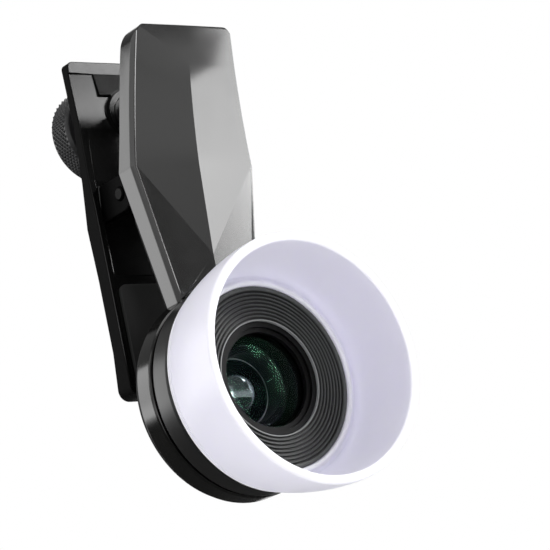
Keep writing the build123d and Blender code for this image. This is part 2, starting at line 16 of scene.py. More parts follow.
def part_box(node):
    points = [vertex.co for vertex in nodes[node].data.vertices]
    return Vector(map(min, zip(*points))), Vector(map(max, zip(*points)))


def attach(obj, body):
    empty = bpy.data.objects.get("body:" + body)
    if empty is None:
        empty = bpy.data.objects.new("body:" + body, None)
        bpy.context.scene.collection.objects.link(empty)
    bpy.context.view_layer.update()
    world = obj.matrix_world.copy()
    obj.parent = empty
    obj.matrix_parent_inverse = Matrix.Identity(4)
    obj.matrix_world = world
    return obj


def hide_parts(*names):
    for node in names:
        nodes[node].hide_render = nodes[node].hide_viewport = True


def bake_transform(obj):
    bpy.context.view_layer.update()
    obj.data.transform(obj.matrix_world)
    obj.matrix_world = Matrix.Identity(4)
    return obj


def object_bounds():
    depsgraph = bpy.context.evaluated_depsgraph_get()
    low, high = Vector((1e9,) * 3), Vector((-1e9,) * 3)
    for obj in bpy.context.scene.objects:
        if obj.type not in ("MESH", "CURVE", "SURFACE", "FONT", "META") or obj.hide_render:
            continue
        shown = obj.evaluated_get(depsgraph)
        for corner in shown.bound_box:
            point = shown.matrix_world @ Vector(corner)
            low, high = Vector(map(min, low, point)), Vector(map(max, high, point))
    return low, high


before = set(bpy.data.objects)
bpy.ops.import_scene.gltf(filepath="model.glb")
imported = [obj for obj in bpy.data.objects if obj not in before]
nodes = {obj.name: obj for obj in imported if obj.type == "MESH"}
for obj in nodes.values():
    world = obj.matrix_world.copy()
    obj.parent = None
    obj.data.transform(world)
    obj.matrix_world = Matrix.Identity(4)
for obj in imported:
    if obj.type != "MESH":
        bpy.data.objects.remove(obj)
scene = bpy.context.scene
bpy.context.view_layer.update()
MM = 0.001
print("solids loaded:", len(nodes))

# %% [markdown]
# ## The camera
# The photograph was taken from the left of the lens and a little below it, with the camera
# rolled, so that the clip leans to the left. The camera is placed by angles about the lens
# axis and by its distance, and the aim is moved in the picture's own plane. A long lens
# keeps the round edges nearly as parallel as they are in the photograph.

# %% The camera
VIEW_AZIMUTH = radians(-39.62)
VIEW_ELEVATION = radians(-13.36)
VIEW_ROLL = radians(-12.07)
VIEW_DISTANCE = 500 * MM
AIM_RIGHT = 8.82 * MM
AIM_UP = 22.39 * MM
AIM_DEPTH = 1.0 * MM       # the aim lies this far in front of the pad's plane
PHOTO_SIZE = 550
FOCAL_PIXELS = 2765
SENSOR_WIDTH = 36.0

back = Vector((
    sin(VIEW_AZIMUTH) * cos(VIEW_ELEVATION),
    -cos(VIEW_AZIMUTH) * cos(VIEW_ELEVATION),
    sin(VIEW_ELEVATION),
))
level_right = Vector((cos(VIEW_AZIMUTH), sin(VIEW_AZIMUTH), 0))
level_up = back.cross(level_right)
view_right = level_right * cos(VIEW_ROLL) + level_up * sin(VIEW_ROLL)
view_up = level_up * cos(VIEW_ROLL) - level_right * sin(VIEW_ROLL)

camera_data = bpy.data.cameras.new("camera")
camera_data.sensor_width = SENSOR_WIDTH
camera_data.lens = SENSOR_WIDTH * FOCAL_PIXELS / PHOTO_SIZE
camera_data.clip_start = 0.01
camera_data.clip_end = 20
camera = bpy.data.objects.new("camera", camera_data)
camera.matrix_world = Matrix((
    (view_right.x, view_up.x, back.x, 0),
    (view_right.y, view_up.y, back.y, 0),
    (view_right.z, view_up.z, back.z, 0),
    (0, 0, 0, 1),
))
camera.location = (
    back * VIEW_DISTANCE + view_right * AIM_RIGHT + view_up * AIM_UP + Vector((0, -AIM_DEPTH, 0))
)
scene.collection.objects.link(camera)
scene.camera = camera
print("lens in mm:", round(camera_data.lens, 1))

# %% [markdown]
# ## Helpers for materials
# A colour is written as the hex value that it shows on a screen, and one function turns it
# into the linear numbers that the renderer works with. One small function adds a shader or
# geometry node, sets its values and links its inputs, so that each material below reads as
# a short list of what it is made from. Patterns are given in millimetres.

# %% Helpers for materials
def linear(hex_colour):
    """The linear colour of an sRGB hex value such as 4a4b45."""
    channels = [int(hex_colour[i:i + 2], 16) / 255 for i in (0, 2, 4)]
    return tuple(c / 12.92 if c <= 0.04045 else ((c + 0.055) / 1.055) ** 2.4 for c in channels) + (1.0,)


def add(tree, kind, inputs=None, **settings):
    """Add one node. An input given as a socket is linked, and any other is set."""
    node = tree.nodes.new(kind)
    for name, value in settings.items():
        setattr(node, name, value)
    for name, value in (inputs or {}).items():
        if isinstance(value, bpy.types.NodeSocket):
            tree.links.new(value, node.inputs[name])
        else:
            node.inputs[name].default_value = value
    return node


def new_material(name, **inputs):
    """A material with one Principled shader, whose sockets are set by their names."""
    material = bpy.data.materials.new(name)
    material.use_nodes = True
    tree = material.node_tree
    shader = tree.nodes["Principled BSDF"]
    for key, value in inputs.items():
        shader.inputs[key.replace("_", " ")].default_value = value
    return material, tree, shader


def spread(tree, pattern, low, high):
    """A number that runs from low to high as a pattern runs from 0 to 1."""
    mapped = add(tree, "ShaderNodeMapRange", {"Value": pattern, "To Min": low, "To Max": high})
    return mapped.outputs["Result"]


def shades(tree, shader, pattern, first, second):
    """Base colour that runs from one shade to another as a pattern runs from 0 to 1."""
    mix = add(tree, "ShaderNodeMix", {"Factor": pattern}, data_type="RGBA")
    # the node has several sockets named A and B, and these numbers are its colours
    mix.inputs[6].default_value = linear(first)
    mix.inputs[7].default_value = linear(second)
    tree.links.new(mix.outputs[2], shader.inputs["Base Color"])


def gloss(tree, shader, pattern, smooth, rough):
    """Roughness that runs from smooth to rough as a pattern runs from 0 to 1."""
    tree.links.new(spread(tree, pattern, smooth, rough), shader.inputs["Roughness"])


def relief(tree, shader, pattern, depth_mm):
    """Bump the surface by a pattern, with a real depth."""
    bump = add(tree, "ShaderNodeBump", {"Height": pattern, "Strength": 1.0, "Distance": depth_mm * MM})
    tree.links.new(bump.outputs["Normal"], shader.inputs["Normal"])


def cloud(tree, size_mm, detail=2.0):
    """Soft noise on object coordinates, with patches of a real size."""
    where = add(tree, "ShaderNodeTexCoord").outputs["Object"]
    noise = add(tree, "ShaderNodeTexNoise", {
        "Vector": where, "Scale": 1 / (size_mm * MM), "Detail": detail,
    })
    return noise.outputs["Fac"]


# %% [markdown]
# ## Moulded plastic
# Both arms of the clip are black ABS. The front arm came out of a polished mould: it is
# mirror-like, but the skin of a moulding is never quite flat, so its reflections waver a
# little. ABS has an index near 1.54, and the front arm's is set higher, to match how
# brightly the photographed one mirrors. The rear arm came out of a ground mould: its flat
# faces mirror a lamp as a soft grey patch. Its side walls get a darker, rough copy of the
# plastic that mirrors almost nothing, a painted shade that leaves them a dead black. The
# knob, the bush and the screw's foot are mouldings with a fine grain that dulls them.

# %% Moulded plastic
GRAIN_SWING = 0.05         # how far a moulding's grain moves its roughness each way


def polished_abs():
    """Black ABS from a polished mould: deep black, with soft-edged reflections."""
    material, tree, shader = new_material("black ABS, polished mould", IOR=1.68)
    skin = cloud(tree, size_mm=3.5)
    shades(tree, shader, skin, "0b0b0a", "10100f")
    gloss(tree, shader, skin, 0.12, 0.18)
    relief(tree, shader, skin, depth_mm=0.004)
    return material


def satin_abs(name, dark, light, roughness, **inputs):
    """Black ABS from a fine-eroded mould: the same plastic with a grain that dulls it."""
    material, tree, shader = new_material(name, **inputs)
    grain = cloud(tree, size_mm=0.25, detail=4.0)
    shades(tree, shader, grain, dark, light)
    gloss(tree, shader, grain, roughness - GRAIN_SWING, roughness + GRAIN_SWING)
    relief(tree, shader, grain, depth_mm=0.006)
    return material


def semi_gloss_abs():
    """Black ABS from a plainly ground mould: it mirrors a lamp as a soft grey patch."""
    material, tree, shader = new_material("black ABS, ground mould", IOR=1.5)
    skin = cloud(tree, size_mm=2.0)
    shades(tree, shader, skin, "060606", "090909")
    gloss(tree, shader, skin, 0.17, 0.25)
    relief(tree, shader, skin, depth_mm=0.003)
    return material


FRONT_ABS = polished_abs()
REAR_ABS = semi_gloss_abs()
# the side walls' copy is darker and mirrors almost nothing: painted shade
SHADED_WALL_ABS = satin_abs(
    "black ABS, eroded wall", "040404", "070707", roughness=0.8, Specular_IOR_Level=0.12,
)
KNOB_ABS = satin_abs("dark ABS, cut rim", "262627", "323233", roughness=0.32)
PLAIN_ABS = satin_abs("black ABS, plain mould", "141414", "1b1b1b", roughness=0.5)
print("mouldings:", FRONT_ABS.name, "|", REAR_ABS.name)

# %% [markdown]
# ## Rubber
# The jaws grip with thin rubber pads. Rubber has almost no gloss. A fine grain in its colour
# and its relief keeps the pads from looking like painted plastic.

# %% Rubber
def pad_rubber():
    """Matt rubber with a fine pressed grain."""
    material, tree, shader = new_material("black silicone rubber, pressed", IOR=1.43)
    grain = cloud(tree, size_mm=0.3, detail=4.0)
    shades(tree, shader, grain, "161616", "212121")
    gloss(tree, shader, grain, 0.62, 0.8)
    relief(tree, shader, grain, depth_mm=0.02)
    return material


RUBBER = pad_rubber()
print("pads:", RUBBER.name)

# %% [markdown]
# ## Turned metal
# The lens rings are aluminium, turned on a lathe and then black anodised. The cutting tool
# leaves one long spiral of marks. On the outside they run round the ring, and on a face
# they are circles, so one number draws both: the distance from the axis added to the
# distance along it. The real marks are a few hundredths of a millimetre apart, which no
# render of this size shows, so they are drawn about five times as coarse. The brass thread
# ring and the blackened steel nut are turned in the same way, and a mapping node centres
# the nut's marks on the screw's axis. The ridged ring round the glass has painted light on
# its tops, painted shade in its floors, and a painted highlight along its inner edge.

# %% Turned metal
TOOL_PITCH = 0.16          # drawn distance between two tool marks, in mm
TOOL_DEPTH = 0.003
MARK_SWING = 0.06          # how far the marks move the roughness each way
RIDGE_TOP = 14.72          # depths between which the ridges turn from painted light on the tops to painted shade in the floors, in mm
RIDGE_FLOOR = 14.45
GLINT_RING_INNER = 10.72         # radii between which the inner edge turns to its painted highlight, in mm
GLINT_RING_OUTER = 10.86
# the colour of the painted highlight along the inner edge
PAINTED_GLINT = "8b8d8b"


def from_axis(tree, where):
    """Distance of a place from an axis along Y."""
    flat = add(tree, "ShaderNodeVectorMath", {0: where, 1: (1, 0, 1)}, operation="MULTIPLY")
    length = add(tree, "ShaderNodeVectorMath", {0: flat.outputs["Vector"]}, operation="LENGTH")
    return length.outputs["Value"]


def tool_marks(tree, pitch_mm, height=0.0):
    """Rings round an axis along Y: 0 to 1 across each mark."""
    where = add(tree, "ShaderNodeTexCoord").outputs["Object"]
    shift = add(tree, "ShaderNodeMapping", {"Vector": where, "Location": (0, 0, -height)})
    centred = shift.outputs["Vector"]
    axes = add(tree, "ShaderNodeSeparateXYZ", {"Vector": centred})
    radius = from_axis(tree, centred)
    along = add(tree, "ShaderNodeMath", {0: radius, 1: axes.outputs["Y"]}, operation="ADD")
    noise = add(tree, "ShaderNodeTexNoise", {
        "W": along.outputs["Value"], "Scale": 1 / (pitch_mm * MM), "Detail": 1.0,
    }, noise_dimensions="1D")
    return noise.outputs["Fac"]


def turned(name, dark, light, roughness, height=0.0, **inputs):
    """Turned metal, its gloss and relief broken into fine rings."""
    material, tree, shader = new_material(name, **inputs)
    marks = tool_marks(tree, TOOL_PITCH, height)
    shades(tree, shader, marks, dark, light)
    gloss(tree, shader, marks, roughness - MARK_SWING, roughness + MARK_SWING)
    relief(tree, shader, marks, TOOL_DEPTH)
    return material


SCREW_HEIGHT = (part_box("knob")[0][2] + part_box("knob")[1][2]) / 2
RING_ALUMINIUM = turned(
    "black anodised aluminium, satin turned", "161616", "1f1f1f", roughness=0.34, IOR=1.65,
)
CELL_ALUMINIUM = turned(
    "black anodised aluminium, dull turned", "050505", "090909", roughness=0.5, Specular_IOR_Level=0.2,
)


def ridged_aluminium():
    """Black anodised ridges: painted light on the tops, painted shade in the floors, and a painted highlight
    on the inner edge.
    """
    material, tree, shader = new_material("black anodised aluminium, ridged face", IOR=1.5)
    where = add(tree, "ShaderNodeTexCoord").outputs["Object"]
    depth = add(tree, "ShaderNodeSeparateXYZ", {"Vector": where}).outputs["Y"]
    top = add(tree, "ShaderNodeMapRange", {
        "Value": depth, "From Min": -RIDGE_FLOOR * MM, "From Max": -RIDGE_TOP * MM,
    }).outputs["Result"]
    # painted light on the ridge tops and painted shade in their floors, set by depth
    shades(tree, shader, top, "090a09", "424442")
    edge = add(tree, "ShaderNodeMapRange", {
        "Value": from_axis(tree, where), "From Min": GLINT_RING_OUTER * MM, "From Max": GLINT_RING_INNER * MM,
    }).outputs["Result"]
    # a painted highlight along the inner edge, mixed over the ridges' colour
    bright = add(tree, "ShaderNodeMix", {"Factor": edge}, data_type="RGBA")
    tree.links.new(shader.inputs["Base Color"].links[0].from_socket, bright.inputs[6])
    bright.inputs[7].default_value = linear(PAINTED_GLINT)
    tree.links.new(bright.outputs[2], shader.inputs["Base Color"])
    marks = tool_marks(tree, TOOL_PITCH)
    gloss(tree, shader, marks, 0.36, 0.48)
    relief(tree, shader, marks, TOOL_DEPTH)
    return material


BEZEL_ALUMINIUM = ridged_aluminium()
LENS_BRASS = turned("turned brass, thread ring", "a08a55", "b39a62", roughness=0.3, Metallic=1.0)
NUT_STEEL = turned(
    "turned steel, blackened nut", "0c0c0c", "131313", roughness=0.4, height=SCREW_HEIGHT,
)
print("screw axis at", round(SCREW_HEIGHT / MM, 2), "mm")

# %% [markdown]
# ## Steel
# The spring and the locking screw are bright steel. The hinge pin is blackened, and its
# near black, which mirrors almost nothing, is partly painted shade that makes it disappear
# beside the black arms. Drawing the pin and the wire leaves faint streaks, here a noise
# stretched along the hinge. The screw's thread is rolled, so its noise isn't stretched.

# %% Steel
STREAK_WIDTH = 0.3         # across a streak, in mm


def drawn_steel(name, stretch, dark, light, **inputs):
    """Drawn steel, with streaks along one axis."""
    material, tree, shader = new_material(name, **inputs)
    where = add(tree, "ShaderNodeTexCoord").outputs["Object"]
    drawn = add(tree, "ShaderNodeMapping", {"Vector": where, "Scale": stretch})
    noise = add(tree, "ShaderNodeTexNoise", {
        "Vector": drawn.outputs["Vector"], "Scale": 1 / (STREAK_WIDTH * MM), "Detail": 2.0,
    })
    streaks = noise.outputs["Fac"]
    shades(tree, shader, streaks, dark, light)
    gloss(tree, shader, streaks, 0.22, 0.36)
    relief(tree, shader, streaks, depth_mm=0.003)
    return material


# the pin's near black, which mirrors almost nothing, is partly painted shade in the hinge
PIN_STEEL = drawn_steel(
    "drawn steel, blackened pin", (0.1, 1, 1), "050505", "090909", Specular_IOR_Level=0.04,
)
WIRE_STEEL = drawn_steel("spring steel wire", (0.3, 1, 1), "8e8f91", "a8a9ab", Metallic=1.0)
SCREW_STEEL = drawn_steel("rolled steel, screw", (1, 1, 1), "8e8f91", "a8a9ab", Metallic=1.0)
print("steels:", PIN_STEEL.name, "|", WIRE_STEEL.name, "|", SCREW_STEEL.name)

# %% [markdown]
# ## Milky plastic
# The hood is a thick-walled moulding of milky white plastic that spreads a flash's light.
# Light enters it, scatters and comes out a few millimetres away, so its shadows are soft
# and slightly lilac. Subsurface scattering gives that, and a gloss coat is not needed.

# %% Milky plastic
def milky_plastic():
    """Translucent white moulding: soft shadows, a mild gloss."""
    material, tree, shader = new_material(
        "milky white polycarbonate", IOR=1.5, Subsurface_Weight=0.75, Subsurface_Scale=2.2 * MM,
        Subsurface_Radius=(1.0, 0.97, 1.05),
    )
    skin = cloud(tree, size_mm=4.0)
    shades(tree, shader, skin, "e9e8f4", "ecebf6")
    gloss(tree, shader, skin, 0.3, 0.36)
    relief(tree, shader, skin, depth_mm=0.004)
    return material


HOOD_PLASTIC = milky_plastic()
print("hood:", HOOD_PLASTIC.name)

# %% [markdown]
# ## Coated glass
# Each glass carries a thin coating that cuts its reflection and tints what is left of it:
# green on the outer glass and violet on the one behind. The tint is set on the shader's
# reflection colour. A coating takes the reflection far below that of bare glass, so both
# glasses get a lower index than real glass, which keeps the dark tube behind them free of
# haze. The inmost glass is what shines deep inside the lens: a dome painted near black as
# the shade inside the lens, with a pale, strong mirror, and a finely ground white edge whose
# white is partly a painted highlight.

# %% Coated glass
HAZE_SWING = 0.03          # how far faint marks raise a glass's roughness
GROUND_GLINT_INNER = 5.7         # radii between which the inmost glass turns from its painted shade to its white ground edge, partly a painted highlight, in mm
GROUND_GLINT_OUTER = 5.95


def coated_glass(name, body, tint, haze, **inputs):
    """Glass whose reflections take the coating's colour, softened by a faint haze."""
    material, tree, shader = new_material(
        name, Base_Color=linear(body), Specular_Tint=linear(tint), **inputs,
    )
    marks = cloud(tree, size_mm=2.5)
    gloss(tree, shader, marks, haze, haze + HAZE_SWING)
    return material


def painted_inmost_glass():
    """The inmost glass: a pale coating over a body painted near black as shade, and a white ground edge that
    is partly a painted highlight.
    """
    material, tree, shader = new_material(
        "flint glass, ground edge", IOR=3.4, Specular_Tint=linear("e6f7f1"),
    )
    where = add(tree, "ShaderNodeTexCoord").outputs["Object"]
    edge = add(tree, "ShaderNodeMapRange", {
        "Value": from_axis(tree, where), "From Min": GROUND_GLINT_INNER * MM, "From Max": GROUND_GLINT_OUTER * MM,
    }).outputs["Result"]
    # painted shade: near black inside the ground edge, and the white edge is partly a painted highlight
    shades(tree, shader, edge, "050607", "f0f2f1")
    gloss(tree, shader, edge, 0.06, 0.6)
    return material


FRONT_GLASS = coated_glass(
    "crown glass, green coating", "f7faf9", "30f0a8", haze=0.05, Transmission_Weight=1.0, IOR=1.15,
)
MIDDLE_GLASS = coated_glass(
    "crown glass, violet coating", "f2f1f7", "8a7cf0", haze=0.02, Transmission_Weight=1.0, IOR=1.13,
)
REAR_GLASS = painted_inmost_glass()
print("glasses:", FRONT_GLASS.name, "|", MIDDLE_GLASS.name, "|", REAR_GLASS.name)

# %% [markdown]
# ## Putting a piece in the frame
# Each piece that is made here, save the one that bends, rides on one moving body of the
# clip. It takes the place of the solids that it stands for and is given its finish. Meshes
# are shaded smooth, and edges sharper than a limit stay crisp.

# %% Putting a piece in the frame
def place(name, mesh, material, body, replaced, crisp=32):
    """Link a finished mesh, hang it on its body and hide the solids that it replaces. A piece that bends has
    no one body.
    """
    shape = bmesh.new()
    shape.from_mesh(mesh)
    bmesh.ops.recalc_face_normals(shape, faces=shape.faces)
    shape.to_mesh(mesh)
    shape.free()
    mesh.materials.clear()
    mesh.materials.append(material)
    mesh.shade_smooth()
    mesh.set_sharp_from_angle(angle=radians(crisp))
    piece = bpy.data.objects.new(name, mesh)
    scene.collection.objects.link(piece)
    if body:
        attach(piece, body)
    if replaced:
        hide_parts(*replaced)
    print(name, len(mesh.polygons), "faces")
    return piece


def evaluated(seed, name):
    """The plain mesh that an object's modifiers make. The object itself is removed."""
    depsgraph = bpy.context.evaluated_depsgraph_get()
    mesh = bpy.data.meshes.new_from_object(seed.evaluated_get(depsgraph))
    mesh.name = name
    seed.modifiers.clear()
    bpy.data.objects.remove(seed)
    return mesh


def grown(name, seed_mesh, tree, values):
    """Run a node tree on a seed mesh, with its named inputs set, and keep the result."""
    seed = bpy.data.objects.new(name + " seed", seed_mesh)
    modifier = seed.modifiers.new("nodes", "NODES")
    modifier.node_group = tree
    for item in tree.interface.items_tree:
        if item.in_out == "INPUT" and item.name in values:
            modifier[item.identifier] = values[item.name]
    scene.collection.objects.link(seed)
    return evaluated(seed, name)


def new_tree(name, sockets):
    """An empty geometry tree with named inputs, and its two end nodes."""
    tree = bpy.data.node_groups.new(name, "GeometryNodeTree")
    tree.interface.new_socket("Geometry", in_out="OUTPUT", socket_type="NodeSocketGeometry")
    tree.interface.new_socket("Geometry", in_out="INPUT", socket_type="NodeSocketGeometry")
    for label, kind in sockets.items():
        tree.interface.new_socket(label, in_out="INPUT", socket_type="NodeSocket" + kind)
    return tree, tree.nodes.new("NodeGroupInput").outputs, tree.nodes.new("NodeGroupOutput").inputs


# %% [markdown]
# ## Softening the moulded arms
# The two arms keep the exact shape of their solids. What a solid lacks is the small radius
# that every mould has on its edges, and that radius is what catches the light as a thin
# line. So the solid's mesh is copied, welded and given a narrow bevel on its sharp edges
# only. The bevel would be the tool for one arm by hand too: here a function does both arms,
# the pads and the spring in the same way.

# %% Softening the moulded arms
WELD = 0.002 * MM
FLAT_ANGLE = radians(0.4)


def softened(node_name, width_mm, segments=2, limit=28):
    """A welded copy of a solid, with a narrow radius on its sharp edges."""
    shape = bmesh.new()
    shape.from_mesh(nodes[node_name].data)
    bmesh.ops.remove_doubles(shape, verts=shape.verts, dist=WELD)
    bmesh.ops.dissolve_limit(shape, angle_limit=FLAT_ANGLE, verts=shape.verts, edges=shape.edges)
    mesh = bpy.data.meshes.new(node_name + " soft")
    shape.to_mesh(mesh)
    shape.free()
    seed = bpy.data.objects.new(node_name + " seed", mesh)
    scene.collection.objects.link(seed)
    bevel = seed.modifiers.new("edge radius", "BEVEL")
    bevel.width = width_mm * MM
    bevel.segments = segments
    bevel.limit_method = "ANGLE"
    bevel.angle_limit = radians(limit)
    bevel.use_clamp_overlap = False
    return evaluated(seed, node_name + " soft")


FLAT_CRISP = 9.3           # degrees: a sharper meeting stays crisp, so a flat face keeps a flat gloss
SIDEWAYS = 0.7             # a face that looks further sideways than this is a side wall
front_arm = place(
    "front_arm_moulding", softened("front_arm", width_mm=0.16), FRONT_ABS,
    "front_jaw", ["front_arm"], crisp=FLAT_CRISP,
)
rear_arm = place(
    "rear_arm_moulding", softened("rear_arm", width_mm=0.2), REAR_ABS,
    "rear_jaw", ["rear_arm"], crisp=FLAT_CRISP,
)
# faces that look sideways take the darker copy, painted shade on the side walls
rear_arm.data.materials.append(SHADED_WALL_ABS)
for face in rear_arm.data.polygons:
    face.material_index = int(abs(face.normal.x) > SIDEWAYS)
place(
    "front_pad", softened("front_jaw_pad", width_mm=0.15), RUBBER,
    "front_jaw", ["front_jaw_pad"],
)
place(
    "rear_pad", softened("rear_jaw_pad", width_mm=0.25), RUBBER,
    "rear_jaw", ["rear_jaw_pad"],
)

# %% [markdown]
# ## Crisp and smooth facets on the lever
# The flat facets on the front of the lever meet at shallow angles and must stay crisp, so
# the ridge, the knee's creases and the top edge are marked sharp by where they lie. The
# crown near the top is the other way round: its slopes run smoothly into the long facets,
# so the edges where they meet are marked smooth.

# %% Crisp and smooth facets on the lever
ARM_FRONT = -5.4 * MM       # the neck's flat face
KNEE_HEIGHT = 26.0 * MM
CROWN_FOOT = 61.5 * MM
TOP_EDGE = 68.2 * MM        # everything above is the edge's own bevel
CLOSE = 0.05 * MM


def on_crease(edge, mesh):
    """True for the centre ridge, the knee's slanting creases and the top edge."""
    a, b = [mesh.vertices[i].co for i in edge.vertices]
    if max(a.y, b.y) > ARM_FRONT + CLOSE:
        return False
    ridge = abs(a.x) < CLOSE and abs(b.x) < CLOSE
    knee = any(abs(p.x) < CLOSE and abs(p.z - KNEE_HEIGHT) < CLOSE for p in (a, b))
    top = min(a.z, b.z) > TOP_EDGE
    return ridge or knee or top


def on_crown(edge, mesh):
    """True for an edge where the crown's slopes meet the lever's long facets."""
    a, b = [mesh.vertices[i].co for i in edge.vertices]
    near_ridge = min(abs(a.x), abs(b.x)) < CLOSE
    slope = max(a.z, b.z) > CROWN_FOOT + CLOSE and min(a.z, b.z) < TOP_EDGE
    return near_ridge and slope and a.y < ARM_FRONT and b.y < ARM_FRONT


creases = 0
for edge in front_arm.data.edges:
    if on_crown(edge, front_arm.data):
        edge.use_edge_sharp = False
    elif on_crease(edge, front_arm.data):
        edge.use_edge_sharp = True
        creases += 1
print("creases kept crisp:", creases)

# %% [markdown]
# ## A lathe made of nodes
# The barrel, the front ring, the hood, the knob and the cores of the screw and of the lens's
# stub are round about an axis, so their shape follows one rule: an outline carried round a
# circle. The outline is drawn here as a closed loop of edges, radius against depth. A small
# geometry tree turns the loop into a curve, sweeps it round a circle and lays the result on
# the lens axis or on the screw's.
# Spin in edit mode would do the same once. The tree is kept because it makes six pieces.

# %% A lathe made of nodes
LATHE_RING = 15.0          # radius of the circle that carries an outline, in mm
CORNER_SHARE = 0.45        # the most of a side that one rounded corner takes


def rounded(points, radius, steps=4):
    """Round every corner of a closed outline of (radius, depth) points."""
    result = []
    for i, point in enumerate(points):
        corner = Vector(point)
        before = Vector(points[i - 1]) - corner
        after = Vector(points[(i + 1) % len(points)]) - corner
        start = corner + before.normalized() * min(radius, before.length * CORNER_SHARE)
        end = corner + after.normalized() * min(radius, after.length * CORNER_SHARE)
        for k in range(steps + 1):
            share = k / steps
            result.append(start.lerp(corner, share).lerp(corner.lerp(end, share), share))
    return result


def lathe_tree():
    """Sweep an outline round the Y axis, through a centre."""
    tree, given, result = new_tree(
        "lathe", {"Steps round": "Int", "Centre": "Vector", "Finish": "Material"},
    )
    outline = add(tree, "GeometryNodeMeshToCurve", {"Mesh": given["Geometry"]})
    ring = add(tree, "GeometryNodeCurvePrimitiveCircle", {
        "Resolution": given["Steps round"], "Radius": LATHE_RING * MM,
    })
    swept = add(tree, "GeometryNodeCurveToMesh", {
        "Curve": ring.outputs["Curve"], "Profile Curve": outline.outputs["Curve"],
    })
    laid = add(tree, "GeometryNodeTransform", {
        "Geometry": swept.outputs["Mesh"], "Translation": given["Centre"],
        "Rotation": (-pi / 2, 0, 0),
    })
    joined = add(tree, "GeometryNodeMergeByDistance", {
        "Geometry": laid.outputs["Geometry"], "Distance": WELD,
    })
    real = add(tree, "GeometryNodeRealizeInstances", {"Geometry": joined.outputs["Geometry"]})
    dressed = add(tree, "GeometryNodeSetMaterial", {
        "Geometry": real.outputs["Geometry"], "Material": given["Finish"],
    })
    tree.links.new(dressed.outputs["Geometry"], result["Geometry"])
    return tree


LATHE = lathe_tree()


def turned_mesh(name, points, finish, steps=160, height=0.0):
    """The mesh of one turned piece, from its (radius, depth) outline in mm."""
    outline = bpy.data.meshes.new(name + " outline")
    corners = [((radius - LATHE_RING) * MM, depth * MM, 0) for radius, depth in points]
    outline.from_pydata(corners, [(i, (i + 1) % len(corners)) for i in range(len(corners))], [])
    values = {"Steps round": steps, "Centre": (0.0, 0.0, height), "Finish": finish}
    return grown(name, outline, LATHE, values)


# %% [markdown]
# ## The barrel and its ridged front ring
# The barrel is a plain ring with softened edges, a narrow groove in front of it and a thinner
# spigot that the hood is pushed on. Round the glass sits a ring whose face is cut into eight
# fine ridges that stop stray light. Their tops catch the light, and their colour is painted
# paler on the tops and darker in the floors, as painted light and shade.

# %% The barrel and its ridged front ring
SEAT_GAP = 0.02
MOUNT_RADIUS = 18.2
BARREL_BACK = 6.1
BARREL_FRONT = 10.6
BARREL_RADIUS = 19.5
BARREL_EDGE = 0.35
GROOVE_RADIUS = 18.5
SPIGOT_BACK = 11.7
SPIGOT_RADIUS = 16.9
BEZEL_BACK = 13.3
BEZEL_FRONT = 14.9
BEZEL_INNER = 10.6
BEZEL_LIP = 0.7
RIDGES = 8
RIDGE_DEPTH = 0.35
RIDGE_STEP = 0.15
FLOOR_SHARES = (0.15, 0.5)  # where a ridge's floor starts and ends, as shares of its pitch
TOP_SHARES = (0.7, 0.96)
RIDGE_ROUND = 0.05
CELL_RADIUS = 12.4
MOUNT_FRONT = 8.1
TURNED_EDGE = 0.12         # radius left on a turned edge

barrel_outline = rounded([
    (MOUNT_RADIUS + SEAT_GAP, BARREL_BACK),
    (BARREL_RADIUS - BARREL_EDGE, BARREL_BACK),
    (BARREL_RADIUS, BARREL_BACK + BARREL_EDGE),
    (BARREL_RADIUS, BARREL_FRONT - BARREL_EDGE),
    (BARREL_RADIUS - BARREL_EDGE, BARREL_FRONT),
    (GROOVE_RADIUS, BARREL_FRONT),
    (GROOVE_RADIUS, SPIGOT_BACK),
    (SPIGOT_RADIUS, SPIGOT_BACK),
    (SPIGOT_RADIUS, BEZEL_BACK),
    (CELL_RADIUS + SEAT_GAP, BEZEL_BACK),
    (CELL_RADIUS + SEAT_GAP, MOUNT_FRONT),
    (MOUNT_RADIUS + SEAT_GAP, MOUNT_FRONT),
], TURNED_EDGE)
place(
    "barrel_ring", turned_mesh("barrel_ring", barrel_outline, RING_ALUMINIUM), RING_ALUMINIUM,
    "lens", ["lens_barrel"],
)

ridge_pitch = (SPIGOT_RADIUS - BEZEL_LIP - BEZEL_INNER) / RIDGES
ridge_top = BEZEL_FRONT - RIDGE_STEP
bezel_outline = [
    (BEZEL_INNER, BEZEL_BACK), (SPIGOT_RADIUS, BEZEL_BACK),
    (SPIGOT_RADIUS, BEZEL_FRONT), (SPIGOT_RADIUS - BEZEL_LIP, BEZEL_FRONT),
]
for i in range(RIDGES):
    start = SPIGOT_RADIUS - BEZEL_LIP - i * ridge_pitch
    for shares_across, fall in ((FLOOR_SHARES, RIDGE_DEPTH), (TOP_SHARES, 0)):
        for share in shares_across:
            bezel_outline.append((start - share * ridge_pitch, ridge_top - fall))
bezel_outline.append((BEZEL_INNER, ridge_top))
bezel_outline = rounded(bezel_outline, RIDGE_ROUND, steps=2)
place(
    "ridged_ring", turned_mesh("ridged_ring", bezel_outline, BEZEL_ALUMINIUM), BEZEL_ALUMINIUM,
    "lens", ["ridged_bezel"],
)

# %% [markdown]
# ## The diffuser hood
# The hood flares from the barrel to its wide mouth, and its outside is slightly barrelled.
# The outline follows a rule: the radius at a share of the length is a straight flare plus a
# bulge that is nothing at both ends. Two fine grooves are cut near its back, and inside it a
# lip stands round the opening for the lens.

